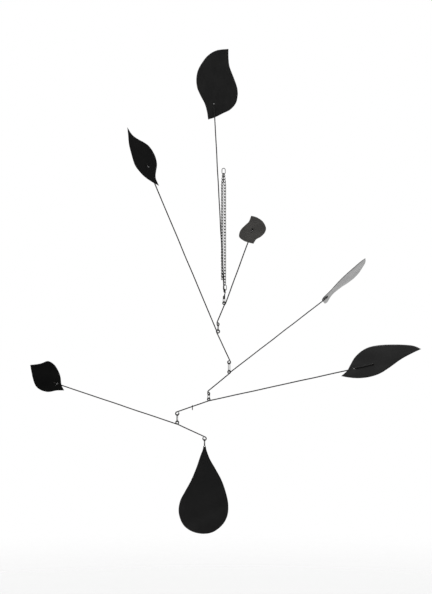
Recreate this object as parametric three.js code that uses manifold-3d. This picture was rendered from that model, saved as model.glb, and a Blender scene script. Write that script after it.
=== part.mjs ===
// A hanging mobile: seven black sheet leaves on bent wire arms, one below the other, under a curb chain.
// Millimetres, +Z up. The origin is where the ring at the top bears on the hook that holds it.
import * as THREE from 'three';
import { mergeVertices } from 'three/addons/utils/BufferGeometryUtils.js';
import Module from 'manifold-3d';

const wasm = await Module();
wasm.setup();

// Wires and the room between pieces that hang in each other
const gap = 0.3;
const hangGap = 0.55; // between a small link and a loop or an eye that hangs in it
const armWire = 1.5; // radius of the arms' wire
const linkWire = 0.85; // radius of the small links' wire
const chainWire = 0.9; // radius of the chain's wire
const ringWire = 0.9; // radius of the ring's wire
const wireSides = 6;
const arcStep = THREE.MathUtils.degToRad(36); // one step along a bent wire

// The ring at the top
const ringHeight = 17.0; // outside
const ringWidth = 10.4; // outside
const ringRoom = 0.6; // between the ring and the chain that hangs in it

// The curb chain, doubled over the ring
const chainLinkHalfWidth = 2.4; // to the middle of the wire
const chainLinkHalfLength = 4.65; // to the middle of the wire
const chainTwist = 45; // each way from the middle of a link, in degrees
const chainTouch = 0.15; // how far one link sinks into the next
const chainSides = 4;
const chainBends = 6;
const loadLinks = 38;
const loadOffset = 3.3; // from the ring's middle to the strand that carries the load
const tailLinks = 36;
const tailOffset = 4; // from the ring's middle to the strand that hangs loose
const spreadLinks = 4; // links over which a strand leaves the ring's middle
const loadFace = 0; // way that the load strand's links face
const tailFace = 50;

// The arms: reach is the straight wire from the fulcrum's loop to the leaf, and short the one to the eye
const topReach = 474.5;
const topShort = 52;
const smallReach = 171;
const smallShort = 51;
const upperLeftReach = 418;
const upperLeftShort = 86;
const upperRightReach = 364;
const upperRightShort = 81;
const rightReach = 371;
const rightShort = 93.7;
const leftReach = 320.4;
const leftShort = 82.7;

// The loops of the arms, and the small links between them
// Radii of the loops and eyes, to the middle of the wire
const wideBend = 4.4;
const middleBend = 4;
const tightBend = 3.6;
const eyeSweep = 290; // how much of a circle an eye is bent round
const neckBend = 4.5; // radius of the bend from an arm into an eye's neck
const topNeck = 4.2; // straight between an arm's end bend and its eye
const smallNeck = 4.7;
const upperRightNeck = 4;
const linkHalfWidth = 4.2; // to the middle of the wire
// Each link's height, to the middle of the wire, from the chain's down to the drop's
const chainLinkHeight = 14.5;
const topLinkHeight = 13.6;
const smallLinkHeight = 16.4;
const upperLeftLinkHeight = 22.8;
const upperRightLinkHeight = 13;
const rightLinkHeight = 20.5;
const leftLinkHeight = 17.2;
const spareLinkHeight = 12;
const spareLinkPlace = 48; // along the right arm's short side
const linkSides = 5;
const linkBends = 10;

// The leaves
const sheet = 1.6; // thickness
const topLeafLength = 220;
const smallLeafLength = 70;
const upperLeftLeafLength = 170;
const upperRightLeafLength = 160;
const rightLeafLength = 216;
const leftLeafLength = 111;
const dropLength = 231;
const slotAngle = 45; // how steeply the wire passes through a leaf, in degrees
const slotBend = 3.0; // radius of the wire's bends at the slot
const holeSides = 10;
const outlineSteps = 2; // straight steps from one point of an outline to the next

const radians = THREE.MathUtils.degToRad;
const up = new THREE.Vector3(0, 0, 1);

const paint = new THREE.MeshStandardMaterial({ color: 0x161616, roughness: 0.55, metalness: 0.0 });
const darkWire = new THREE.MeshStandardMaterial({ color: 0x1c1c1b, roughness: 0.5, metalness: 0.3 });
const steel = new THREE.MeshStandardMaterial({ color: 0x8f8f8b, roughness: 0.35, metalness: 1.0 });
const ringSteel = new THREE.MeshStandardMaterial({ color: 0xb4b4b0, roughness: 0.3, metalness: 1.0 });

// Each side of an outline is a smooth line, and sides meet in points. A point is so many thousandths of the
// leaf's length along and across its wire, from where the wire reaches the leaf.
const topOutline = [
  [[68, 82], [173, 91], [282, 114], [391, 159], [500, 195], [618, 200], [736, 173], [845, 109],
    [932, 32], [986, -73], [995, -214]],
  [[995, -214], [873, -209], [764, -214], [664, -241], [541, -277], [459, -295], [368, -295],
    [264, -268], [182, -195], [141, -109], [91, 0], [68, 82]],
];
const smallOutline = [
  [[13, 216], [199, 259], [356, 387], [556, 473], [742, 445], [913, 245], [970, -27], [942, -227]],
  [[942, -227], [728, -227], [570, -298], [356, -398], [170, -413], [42, -355], [-15, -170],
    [-15, -13], [13, 216]],
];
const upperLeftOutline = [
  [[-58, -45], [72, -45], [166, -92], [242, -139], [336, -163], [436, -163], [548, -139], [630, -92],
    [719, -21], [813, 32], [942, 55]],
  [[942, 55], [830, 90], [701, 132], [566, 155], [389, 173], [266, 149], [148, 102], [30, 26],
    [-58, -45]],
];
const rightOutline = [
  [[-45, 55], [34, 9], [90, -60], [150, -130], [238, -185], [335, -213], [446, -213], [594, -190],
    [770, -148], [877, -111], [955, -56]],
  [[955, -56], [835, -28], [696, 14], [553, 78], [428, 125], [293, 139], [159, 125], [43, 92],
    [-45, 55]],
];
const leftOutline = [
  [[-45, 96], [63, -12], [135, -156], [216, -264], [351, -381], [477, -435], [586, -435], [676, -363],
    [775, -300], [955, -219]],
  [[955, -219], [865, -66], [766, 87], [649, 213], [495, 267], [306, 249], [135, 159], [-45, 96]],
];
const upperRightOutline = [
  [[120, 274], [-33, 18], [-43, -74], [22, -111], [114, -163], [232, -272], [362, -346], [506, -392],
    [647, -429], [763, -450], [873, -430]],
  [[873, -430], [943, -242], [927, -72], [881, 56], [778, 122], [635, 122], [452, 82], [312, 85],
    [230, 125], [203, 215], [184, 294], [120, 274]],
];
const dropOutline = [
  [[0, 16], [13, 0], [24, -48], [61, -143], [126, -255], [195, -381], [242, -515], [268, -641],
    [260, -766], [203, -874], [95, -957], [-30, -978], [-156, -948], [-247, -874], [-294, -745],
    [-277, -615], [-221, -506], [-152, -381], [-95, -247], [-52, -121], [-21, -41], [-13, 0], [0, 16]],
];
const dropTurn = -10; // way that the drop faces along, in degrees
const dropHole = 1.7; // radius of the hole at the drop's tip

// One arm each, from the top down. Turn is the way from the fulcrum to the leaf, seen from above. Rise and
// fall are the slopes of the leaf's side and of the short side. Loop and eye are the radii of the bends at
// the fulcrum and at the short side's end, and eyeTurn is the way that a necked eye faces. LinkTurn is the
// way that the link in the eye faces. The wire goes through the leaf at slot and on along it for tail, both
// as shares of the leaf's length.
const arms = [
  {
    name: 'top', turn: 98.5, rise: 70.5, reach: topReach, fall: 4.7, short: topShort, sideTurn: -11,
    loop: middleBend, eye: tightBend, neck: topNeck, eyeTurn: 115,
    linkHeight: topLinkHeight, linkTurn: 56,
    leaf: { outline: topOutline, length: topLeafLength, roll: 80, side: -1, slot: 0.27, tail: 0.21 },
  },
  {
    name: 'small', turn: -25, rise: 68, reach: smallReach, fall: 66.2, short: smallShort, sideTurn: 8,
    loop: tightBend, eye: tightBend, neck: smallNeck, eyeTurn: 47,
    linkHeight: smallLinkHeight, linkTurn: 107,
    leaf: { outline: smallOutline, length: smallLeafLength, roll: 12, side: -1, slot: 0.43, tail: 0.07 },
  },
  {
    name: 'upper_left', turn: 205, rise: 65.2, reach: upperLeftReach, fall: 62.8, short: upperLeftShort,
    sideTurn: 0, loop: middleBend, eye: middleBend, neck: 0, eyeTurn: 0,
    linkHeight: upperLeftLinkHeight, linkTurn: 120,
    leaf: {
      outline: upperLeftOutline, length: upperLeftLeafLength, roll: -12, side: 1, slot: 0.28, tail: 0.03,
    },
  },
  {
    name: 'upper_right', turn: 35, rise: 31.4, reach: upperRightReach, fall: 33, short: upperRightShort,
    sideTurn: 0, loop: tightBend, eye: tightBend, neck: upperRightNeck, eyeTurn: -50,
    linkHeight: upperRightLinkHeight, linkTurn: 55,
    leaf: {
      outline: upperRightOutline, length: upperRightLeafLength, roll: 53, side: 1, slot: 0.09, tail: 0.03,
    },
  },
  {
    name: 'right', turn: -20, rise: 12.5, reach: rightReach, fall: 18.9, short: rightShort, sideTurn: 0,
    loop: tightBend, eye: wideBend, neck: 0, eyeTurn: 0, linkHeight: rightLinkHeight, linkTurn: 73,
    leaf: { outline: rightOutline, length: rightLeafLength, roll: -14, side: -1, slot: 0.125, tail: 0.23 },
  },
  {
    name: 'left', turn: 165, rise: 17.2, reach: leftReach, fall: 23.3, short: leftShort, sideTurn: 0,
    loop: middleBend, eye: wideBend, neck: 0, eyeTurn: 0, linkHeight: leftLinkHeight, linkTurn: 78,
    leaf: { outline: leftOutline, length: leftLeafLength, roll: 10, side: 1, slot: 0.18, tail: 0.05 },
  },
];
const spareLinkTurn = 105; // across the wire, in degrees
const quarterTurn = 90;
const halfTurn = 180;
const thousand = 1000;

// A line through given stations, so that a wire has sections only where it bends
class Route extends THREE.Curve {
  constructor(stations) {
    super();
    this.stations = stations;
  }

  getPointAt(share) {
    return this.stations[Math.round(share * (this.stations.length - 1))].clone();
  }

  getTangentAt(share) {
    const last = this.stations.length - 1;
    const here = Math.round(share * last);
    const tangent = new THREE.Vector3();
    if (here > 0) {
      tangent.add(this.stations[here].clone().sub(this.stations[here - 1]).normalize());
    }
    if (here < last) {
      tangent.add(this.stations[here + 1].clone().sub(this.stations[here]).normalize());
    }
    return tangent.normalize();
  }
}

function wireAlong(stations) {
  const section = new THREE.Shape();
  for (let corner = 0; corner < wireSides; corner += 1) {
    const angle = (corner / wireSides) * 2 * Math.PI;
    section.lineTo(armWire * Math.cos(angle), armWire * Math.sin(angle));
  }
  const route = new Route(stations);
  return new THREE.ExtrudeGeometry(section, {
    steps: stations.length - 1, bevelEnabled: false, extrudePath: route,
  });
}

// Stations round part of a circle. Inward points from the start to the middle; drift carries it sideways.
function bend(start, forward, inward, radius, sweep, drift = new THREE.Vector3()) {
  const centre = start.clone().addScaledVector(inward, radius);
  const steps = Math.max(1, Math.round(sweep / arcStep));
  const stations = [];
  for (let step = 0; step <= steps; step += 1) {
    const angle = (sweep * step) / steps;
    const station = centre.clone();
    station.addScaledVector(inward, -radius * Math.cos(angle));
    station.addScaledVector(forward, radius * Math.sin(angle));
    station.addScaledVector(drift, step / steps);
    stations.push(station);
  }
  return stations;
}

// The corner of a wire as a short bend between its two straights
function roundedCorner(before, corner, after, radius) {
  const into = corner.clone().sub(before).normalize();
  const out = after.clone().sub(corner).normalize();
  const room = radius * Math.tan(into.angleTo(out) / 2);
  const start = corner.clone().addScaledVector(into, -room);
  const end = corner.clone().addScaledVector(out, room);
  return new THREE.QuadraticBezierCurve3(start, corner, end).getPoints(2);
}

// A ring of wire, pulled out to a given height about its middle, standing in the plane of X and Z
function ovalRing(halfWidth, halfHeight, wire, sides, bends) {
  const ring = new THREE.TorusGeometry(halfWidth, wire, sides, bends);
  ring.rotateZ(Math.PI / bends);
  const place = ring.getAttribute('position');
  const pull = halfHeight - halfWidth;
  for (let corner = 0; corner < place.count; corner += 1) {
    place.setY(corner, place.getY(corner) + Math.sign(place.getY(corner)) * pull);
  }
  ring.rotateX(Math.PI / 2);
  return ring;
}

function addPiece(parent, name, geometry, material) {
  const piece = new THREE.Mesh(geometry, material.clone());
  piece.name = name;
  parent.add(piece);
  return piece;
}

function mergedSolid(geometry) {
  const bare = geometry.clone();
  bare.deleteAttribute('normal');
  bare.deleteAttribute('uv');
  const merged = mergeVertices(bare, 1e-4);
  return new wasm.Manifold(new wasm.Mesh({
    numProp: 3,
    vertProperties: new Float32Array(merged.getAttribute('position').array),
    triVerts: new Uint32Array(merged.index.array),
  }));
}

function geometryOf(solid) {
  const mesh = solid.getMesh();
  const geometry = new THREE.BufferGeometry();
  geometry.setAttribute('position', new THREE.BufferAttribute(mesh.vertProperties, 3));
  geometry.setIndex(new THREE.BufferAttribute(mesh.triVerts, 1));
  return geometry;
}

// One link of the curb chain, twisted along its length so that the chain lies flat
function curbLink() {
  const link = ovalRing(chainLinkHalfWidth, chainLinkHalfLength, chainWire, chainSides, chainBends);
  const place = link.getAttribute('position');
  for (let corner = 0; corner < place.count; corner += 1) {
    const twist = radians(chainTwist) * (place.getZ(corner) / chainLinkHalfLength);
    const point = new THREE.Vector3(place.getX(corner), place.getY(corner), place.getZ(corner));
    point.applyAxisAngle(up, twist);
    place.setXYZ(corner, point.x, point.y, point.z);
  }
  return link;
}

const ringHalfWidth = ringWidth / 2 - ringWire;
const ringHalfHeight = ringHeight / 2 - ringWire;
const ringFoot = ringWire - 2 * ringHalfHeight; // middle of the wire at the bottom of the ring
const chainPitch = 2 * (chainLinkHalfLength - chainWire) + chainTouch;
const chainTop = ringFoot + ringWire + chainWire + ringRoom; // middle of the first links' upper bars
const chainStart = chainWire - chainTouch / 3; // first links lie side by side on the ring

// Middle of a link's upper bar, on its way from the ring's middle out to the strand's own line
function chainPin(number, offset) {
  const spread = Math.min(1, number / spreadLinks);
  const side = Math.sign(offset) * (chainStart + (Math.abs(offset) - chainStart) * spread);
  return new THREE.Vector3(side, 0, chainTop - number * chainPitch);
}

// The way that a link of a strand faces: its first link is turned to sit on the ring, and its last to carry
// what hangs from it
function linkFace(number, count, face, lastFace) {
  const fromTop = Math.min(1, number / spreadLinks);
  const fromFoot = Math.min(1, (count - 1 - number) / spreadLinks);
  return face + (chainTwist - face) * (1 - fromTop) + (lastFace - face) * (1 - fromFoot);
}

function chainStrand(count, offset, face, lastFace) {
  const links = [];
  for (let number = 0; number < count; number += 1) {
    const top = chainPin(number, offset);
    const axis = top.clone().sub(chainPin(number + 1, offset)).normalize();
    const link = curbLink();
    link.rotateZ(radians(linkFace(number, count, face, lastFace)));
    const lean = new THREE.Quaternion().setFromUnitVectors(up, axis);
    link.applyQuaternion(lean);
    const middle = top.addScaledVector(axis, -chainLinkHalfLength);
    link.translate(middle.x, middle.y, middle.z);
    links.push(mergedSolid(link));
  }
  return links;
}

function hangingRing() {
  const ring = ovalRing(ringHalfWidth, ringHalfHeight, ringWire, linkSides, linkBends);
  ring.translate(0, 0, ringWire - ringHalfHeight);
  return ring;
}

function hangingChain() {
  const load = chainStrand(loadLinks, loadOffset, loadFace, arms[0].turn + chainTwist - halfTurn);
  const tail = chainStrand(tailLinks, -tailOffset, tailFace, tailFace);
  return geometryOf(load.concat(tail).reduce((whole, link) => whole.add(link)));
}

const leafOffset = sheet / 2 + armWire + gap; // from a wire's middle to that of the leaf it lies on
const slotRun = (2 * leafOffset) / Math.tan(radians(slotAngle)); // length of the slanted stretch
const slotLength = (sheet + 2 * armWire + 4 * gap) / Math.sin(radians(slotAngle));
const slotWidth = 2 * (armWire + gap);
const loopPitch = 2 * armWire + gap; // from one turn of a loop to the next

function sheetShape(outline, length) {
  const points = [];
  const unit = length / thousand;
  for (const side of outline) {
    const places = side.map(([along, across]) => new THREE.Vector2(along * unit, across * unit));
    const line = new THREE.SplineCurve(places);
    points.push(...line.getPoints(outlineSteps * (side.length - 1)).slice(0, -1));
  }
  return new THREE.Shape(points);
}

function cutSheet(shape) {
  const leaf = new THREE.ExtrudeGeometry(shape, { depth: sheet, bevelEnabled: false });
  leaf.translate(0, 0, -sheet / 2);
  return leaf;
}

function dropSheet() {
  const shape = sheetShape(dropOutline, dropLength);
  const rim = [];
  for (let corner = 0; corner < holeSides; corner += 1) {
    const angle = (corner / holeSides) * 2 * Math.PI;
    rim.push(new THREE.Vector2(dropHole * Math.cos(angle), dropHole * Math.sin(angle)));
  }
  shape.holes.push(new THREE.Path(rim));
  return cutSheet(shape);
}

// A leaf is a flat sheet with a slot for its wire
function leafSheet(leaf) {
  const shape = sheetShape(leaf.outline, leaf.length);
  const slotPlace = leaf.slot * leaf.length;
  const hole = new THREE.Path();
  hole.moveTo(slotPlace - slotLength / 2, -slotWidth / 2);
  hole.lineTo(slotPlace + slotLength / 2, -slotWidth / 2);
  hole.lineTo(slotPlace + slotLength / 2, slotWidth / 2);
  hole.lineTo(slotPlace - slotLength / 2, slotWidth / 2);
  hole.closePath();
  shape.holes.push(hole);
  return cutSheet(shape);
}

// The arm in its own upright plane: X to the leaf, Z up, the fulcrum's axis at X 0. The wire starts behind
// the leaf's slot and runs to the eye at the other end.
function armRoute(arm) {
  const rise = radians(arm.rise);
  const fall = radians(arm.fall);
  const outward = new THREE.Vector3(Math.cos(rise), 0, Math.sin(rise));
  const side = new THREE.Vector3(-Math.sin(rise), 0, Math.cos(rise));
  const leafFace = new THREE.Vector3(0, 1, 0).applyAxisAngle(outward, radians(arm.leaf.roll));
  const loopStart = new THREE.Vector3(0, loopPitch / 2, arm.loop).addScaledVector(side, -arm.loop);
  const drift = new THREE.Vector3(0, -loopPitch, 0);
  const inwards = outward.clone().negate();
  const loopSweep = 2 * Math.PI + rise - fall;
  const loop = bend(loopStart, inwards, side, arm.loop, loopSweep, drift);

  const entry = loopStart.clone().addScaledVector(outward, arm.reach);
  const slot = entry.clone().addScaledVector(outward, arm.leaf.slot * arm.leaf.length);
  slot.addScaledVector(leafFace, arm.leaf.side * leafOffset);
  const across = leafFace.clone().multiplyScalar(arm.leaf.side * leafOffset);
  const nearBend = slot.clone().addScaledVector(outward, -slotRun / 2).sub(across);
  const farBend = slot.clone().addScaledVector(outward, slotRun / 2).add(across);
  const tip = farBend.clone().addScaledVector(outward, arm.leaf.tail * arm.leaf.length);
  const stations = [tip];
  stations.push(...roundedCorner(tip, farBend, nearBend, slotBend));
  stations.push(...roundedCorner(farBend, nearBend, loopStart, slotBend));
  stations.push(...loop);

  const plan = radians(arm.sideTurn);
  const forward = new THREE.Vector3(-Math.cos(fall), 0, -Math.sin(fall)).applyAxisAngle(up, plan);
  const below = new THREE.Vector3(Math.sin(fall), 0, -Math.cos(fall)).applyAxisAngle(up, plan);
  let end = loop[loop.length - 1].clone().addScaledVector(forward, arm.short);
  let eye;
  if (arm.neck > 0) {
    const neck = bend(end, forward, below, neckBend, Math.PI / 2 - fall);
    stations.push(...neck);
    end = neck[neck.length - 1].clone().addScaledVector(up, -arm.neck);
    const inEye = new THREE.Vector3(1, 0, 0).applyAxisAngle(up, radians(arm.eyeTurn - arm.turn));
    stations.push(...bend(end, up.clone().negate(), inEye, arm.eye, radians(eyeSweep)));
    eye = end.clone().addScaledVector(inEye, arm.eye);
  } else {
    stations.push(...bend(end, forward, below, arm.eye, radians(eyeSweep)));
    eye = end.clone().addScaledVector(below, arm.eye);
  }
  const hanging = loop[loop.length - 1].clone().addScaledVector(forward, spareLinkPlace);
  return { stations, eye, entry: entry.add(across), outward, leafFace, hanging };
}

const seat = armWire + linkWire + hangGap; // between the middles of two wires that hang in each other
const chainSeat = chainWire + linkWire + gap;
const dropSeat = dropHole - linkWire - gap; // from the middle of the drop's hole up to the wire in it

function addLink(parent, name, top, height, turn) {
  const geometry = ovalRing(linkHalfWidth, height / 2, linkWire, linkSides, linkBends);
  const link = addPiece(parent, name, geometry, ringSteel);
  link.position.copy(top).addScaledVector(up, -height / 2);
  link.rotation.z = radians(turn);
  return link;
}

function addLeaf(parent, arm, route) {
  const across = new THREE.Vector3().crossVectors(route.leafFace, route.outward);
  const geometry = leafSheet(arm.leaf);
  const leaf = addPiece(parent, `${arm.name}_leaf`, geometry, paint);
  const basis = new THREE.Matrix4().makeBasis(route.outward, across, route.leafFace);
  leaf.quaternion.setFromRotationMatrix(basis);
  leaf.position.copy(route.entry);
}

const mobile = new THREE.Group();
addPiece(mobile, 'hanging_ring', hangingRing(), ringSteel);
addPiece(mobile, 'hanging_chain', hangingChain(), steel);

const chainFoot = chainTop - (loadLinks - 1) * chainPitch - 2 * chainLinkHalfLength;
const firstLinkTop = new THREE.Vector3(loadOffset, 0, chainFoot + chainSeat);
addLink(mobile, 'chain_link', firstLinkTop, chainLinkHeight, arms[0].turn + quarterTurn);

let linkTop = firstLinkTop;
let linkHeight = chainLinkHeight;
for (let number = 0; number < arms.length; number += 1) {
  const arm = arms[number];
  const route = armRoute(arm);
  const fulcrum = new THREE.Group();
  fulcrum.name = `${arm.name}_fulcrum`;
  fulcrum.position.copy(linkTop).addScaledVector(up, seat - linkHeight - 2 * arm.loop);
  fulcrum.rotation.z = radians(arm.turn);
  addPiece(fulcrum, `${arm.name}_arm`, wireAlong(route.stations), darkWire);
  addLeaf(fulcrum, arm, route);
  mobile.add(fulcrum);

  const eye = route.eye.clone().applyAxisAngle(up, radians(arm.turn)).add(fulcrum.position);
  linkTop = eye.addScaledVector(up, seat - arm.eye);
  linkHeight = arm.linkHeight;
  addLink(mobile, `${arm.name}_link`, linkTop, linkHeight, arm.linkTurn);
  if (arm.name === 'right') {
    const spareTop = route.hanging.clone().addScaledVector(up, seat / Math.cos(radians(arm.fall)));
    addLink(fulcrum, 'spare_link', spareTop, spareLinkHeight, spareLinkTurn);
  }
}

const drop = new THREE.Group();
drop.position.copy(linkTop).addScaledVector(up, -linkHeight - dropSeat);
drop.rotation.z = radians(dropTurn);
drop.name = 'drop_fulcrum';
const dropLeaf = addPiece(drop, 'drop_leaf', dropSheet(), paint);
dropLeaf.rotation.x = Math.PI / 2;
mobile.add(drop);

export default mobile;
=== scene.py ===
import math
import random

import bpy
from mathutils import Matrix, Vector
from mathutils.geometry import delaunay_2d_cdt


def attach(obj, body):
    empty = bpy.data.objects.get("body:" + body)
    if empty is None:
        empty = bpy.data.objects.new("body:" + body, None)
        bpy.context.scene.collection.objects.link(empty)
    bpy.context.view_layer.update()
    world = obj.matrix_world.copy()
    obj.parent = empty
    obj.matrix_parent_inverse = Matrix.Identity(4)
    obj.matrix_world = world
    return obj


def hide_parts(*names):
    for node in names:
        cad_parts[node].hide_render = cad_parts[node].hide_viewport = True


# A hanging mobile: black sheet leaves on bent wire arms under a doubled curb chain.
# Sizes are in millimetres from the point where the ring bears on its hook, and metres are made last.
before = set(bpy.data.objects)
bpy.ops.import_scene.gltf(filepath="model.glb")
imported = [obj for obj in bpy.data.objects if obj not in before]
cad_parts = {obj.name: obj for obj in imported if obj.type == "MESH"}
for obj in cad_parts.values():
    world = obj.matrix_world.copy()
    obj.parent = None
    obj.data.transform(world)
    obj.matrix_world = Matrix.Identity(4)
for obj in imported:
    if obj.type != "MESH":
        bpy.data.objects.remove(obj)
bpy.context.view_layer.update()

mm = 0.001
up = Vector((0, 0, 1))
quarterTurn = math.radians(90)
halfTurn = math.radians(180)
fullTurn = math.radians(360)
scene = bpy.context.scene


# nodes

def addNode(tree, kind, inputs=None, **settings):
    # a node with its settings and what goes into its inputs, each a plain value or a node's output
    node = tree.nodes.new(kind)
    for name, value in settings.items():
        setattr(node, name, value)
    for key, value in (inputs or {}).items():
        if isinstance(value, bpy.types.NodeSocket):
            tree.links.new(value, node.inputs[key])
        else:
            node.inputs[key].default_value = value
    return node


def mathNode(tree, operation, first, second, clamp=False):
    node = addNode(tree, "ShaderNodeMath", {0: first, 1: second}, operation=operation, use_clamp=clamp)
    return node.outputs[0]


def plus(tree, first, second):
    return mathNode(tree, "ADD", first, second)


def minus(tree, first, second):
    return mathNode(tree, "SUBTRACT", first, second)


def times(tree, first, second):
    return mathNode(tree, "MULTIPLY", first, second)


def larger(tree, first, second):
    return mathNode(tree, "MAXIMUM", first, second)


def mapped(tree, value, fromLow, fromHigh, toLow=0.0, toHigh=1.0, smooth=False):
    node = addNode(
        tree, "ShaderNodeMapRange",
        {"Value": value, "From Min": fromLow, "From Max": fromHigh, "To Min": toLow, "To Max": toHigh},
        interpolation_type="SMOOTHSTEP" if smooth else "LINEAR",
    )
    return node.outputs[0]


def mixColour(tree, mask, first, second):
    return addNode(tree, "ShaderNodeMix", {0: mask, 6: first, 7: second}, data_type="RGBA").outputs[2]


def noiseNode(tree, vector, scale, detail, roughness):
    node = addNode(
        tree, "ShaderNodeTexNoise",
        {"Vector": vector, "Scale": scale, "Detail": detail, "Roughness": roughness},
    )
    return node.outputs["Fac"]


def newGroup(name, inputs, outputs):
    group = bpy.data.node_groups.new(name, "ShaderNodeTree")
    for label, kind, value in inputs:
        socket = group.interface.new_socket(name=label, in_out="INPUT", socket_type=kind)
        if value is not None:
            socket.default_value = value
    for label, kind in outputs:
        group.interface.new_socket(name=label, in_out="OUTPUT", socket_type=kind)
    start = group.nodes.new("NodeGroupInput")
    end = group.nodes.new("NodeGroupOutput")
    return group, start, end


def patchesGroup():
    # broad soft patches, where a coat or a tarnish is thicker and thinner
    group, start, end = newGroup(
        "softPatches",
        [("Vector", "NodeSocketVector", None), ("Scale", "NodeSocketFloat", 20.0),
         ("Contrast", "NodeSocketFloat", 0.2)],
        [("Value", "NodeSocketFloat")],
    )
    noise = noiseNode(group, start.outputs["Vector"], start.outputs["Scale"], 4.0, 0.6)
    low = minus(group, 0.5, start.outputs["Contrast"])
    high = plus(group, 0.5, start.outputs["Contrast"])
    group.links.new(mapped(group, noise, low, high, smooth=True), end.inputs["Value"])
    return group


def grainGroup():
    # fine grain drawn out along one way, for brush marks and for the lines that a die leaves on wire
    group, start, end = newGroup(
        "drawnGrain",
        [("Vector", "NodeSocketVector", None), ("Stretch", "NodeSocketVector", (1.0, 1.0, 1.0)),
         ("Scale", "NodeSocketFloat", 600.0)],
        [("Height", "NodeSocketFloat")],
    )
    pulled = addNode(
        group, "ShaderNodeVectorMath",
        {0: start.outputs["Vector"], 1: start.outputs["Stretch"]}, operation="MULTIPLY",
    )
    coarse = noiseNode(group, pulled.outputs[0], start.outputs["Scale"], 2.0, 0.5)
    finer = times(group, start.outputs["Scale"], 3.1)
    fine = noiseNode(group, pulled.outputs[0], finer, 2.0, 0.5)
    height = plus(group, times(group, coarse, 0.65), times(group, fine, 0.35))
    group.links.new(height, end.inputs["Height"])
    return group


def wearGroup():
    # a ragged line about a place: paint gone from rims and loops, rust round them, grime in hollows
    group, start, end = newGroup(
        "raggedWear",
        [("Vector", "NodeSocketVector", None), ("Place", "NodeSocketFloat", 0.0),
         ("Amount", "NodeSocketFloat", 0.3), ("Scale", "NodeSocketFloat", 400.0)],
        [("Mask", "NodeSocketFloat")],
    )
    noise = noiseNode(group, start.outputs["Vector"], start.outputs["Scale"], 5.0, 0.65)
    ragged = times(group, minus(group, noise, 0.5), 1.7)
    edge = plus(group, start.outputs["Place"], ragged)
    line = minus(group, 1.45, start.outputs["Amount"])
    mask = mapped(group, edge, line, plus(group, line, 0.12), smooth=True)
    group.links.new(mask, end.inputs["Mask"])
    return group


def dustGroup():
    # thin dust on what faces up
    group, start, end = newGroup(
        "thinDust",
        [("Vector", "NodeSocketVector", None), ("Amount", "NodeSocketFloat", 0.2),
         ("Scale", "NodeSocketFloat", 900.0)],
        [("Mask", "NodeSocketFloat")],
    )
    facing = addNode(group, "ShaderNodeNewGeometry")
    parts = addNode(group, "ShaderNodeSeparateXYZ", {0: facing.outputs["Normal"]})
    level = mapped(group, parts.outputs["Z"], -0.15, 0.85, smooth=True)
    fine = noiseNode(group, start.outputs["Vector"], start.outputs["Scale"], 6.0, 0.7)
    specks = mapped(group, fine, 0.35, 0.75)
    broad = noiseNode(group, start.outputs["Vector"], 24.0, 3.0, 0.5)
    cloud = mapped(group, broad, 0.3, 0.7, 0.45, 1.0)
    spread = times(group, times(group, level, specks), cloud)
    mask = mathNode(group, "MULTIPLY", spread, start.outputs["Amount"], clamp=True)
    group.links.new(mask, end.inputs["Mask"])
    return group


softPatches = patchesGroup()
drawnGrain = grainGroup()
raggedWear = wearGroup()
thinDust = dustGroup()


def placeGroup(tree, group, vector, **values):
    node = addNode(tree, "ShaderNodeGroup", {"Vector": vector, **values}, node_tree=group)
    return node.outputs[0]


def newMaterial(name):
    material = bpy.data.materials.new(name)
    material.use_nodes = True
    tree = material.node_tree
    shader = tree.nodes["Principled BSDF"]
    return material, tree, shader


def attributeOf(tree, name):
    return addNode(tree, "ShaderNodeAttribute", attribute_type="GEOMETRY", attribute_name=name)


def bumped(tree, shader, layers):
    # one bump over the other, each a height with its strength and depth in metres
    normal = None
    for height, strength, depth in layers:
        inputs = {"Height": height, "Strength": strength, "Distance": depth}
        if normal is not None:
            inputs["Normal"] = normal
        normal = addNode(tree, "ShaderNodeBump", inputs).outputs["Normal"]
    tree.links.new(normal, shader.inputs["Normal"])


# materials

paleDust = (0.16, 0.152, 0.14, 1.0)
sheetPaint = {
    "coat": (0.0045, 0.0045, 0.0048, 1.0),
    "thinCoat": (0.0105, 0.0102, 0.0098, 1.0),
    "primer": (0.055, 0.052, 0.048, 1.0),
    "bare": (0.42, 0.42, 0.43, 1.0),
    # warm grey painted into one leaf's colour as a painted sheen, standing for the shine that its angle
    # catches
    "paintedSheen": (0.27, 0.26, 0.245, 1.0),
    "gloss": (0.36, 0.52),
    "varnish": 0.7,
    "varnishGloss": 0.14,
    "mattLoss": 0.75,          # of the varnish and the shine, on the most matt leaf
    "primerWear": 0.42,
    "bareWear": 0.16,
    "dustAmount": 0.35,
    "specular": 0.5,
}


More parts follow.
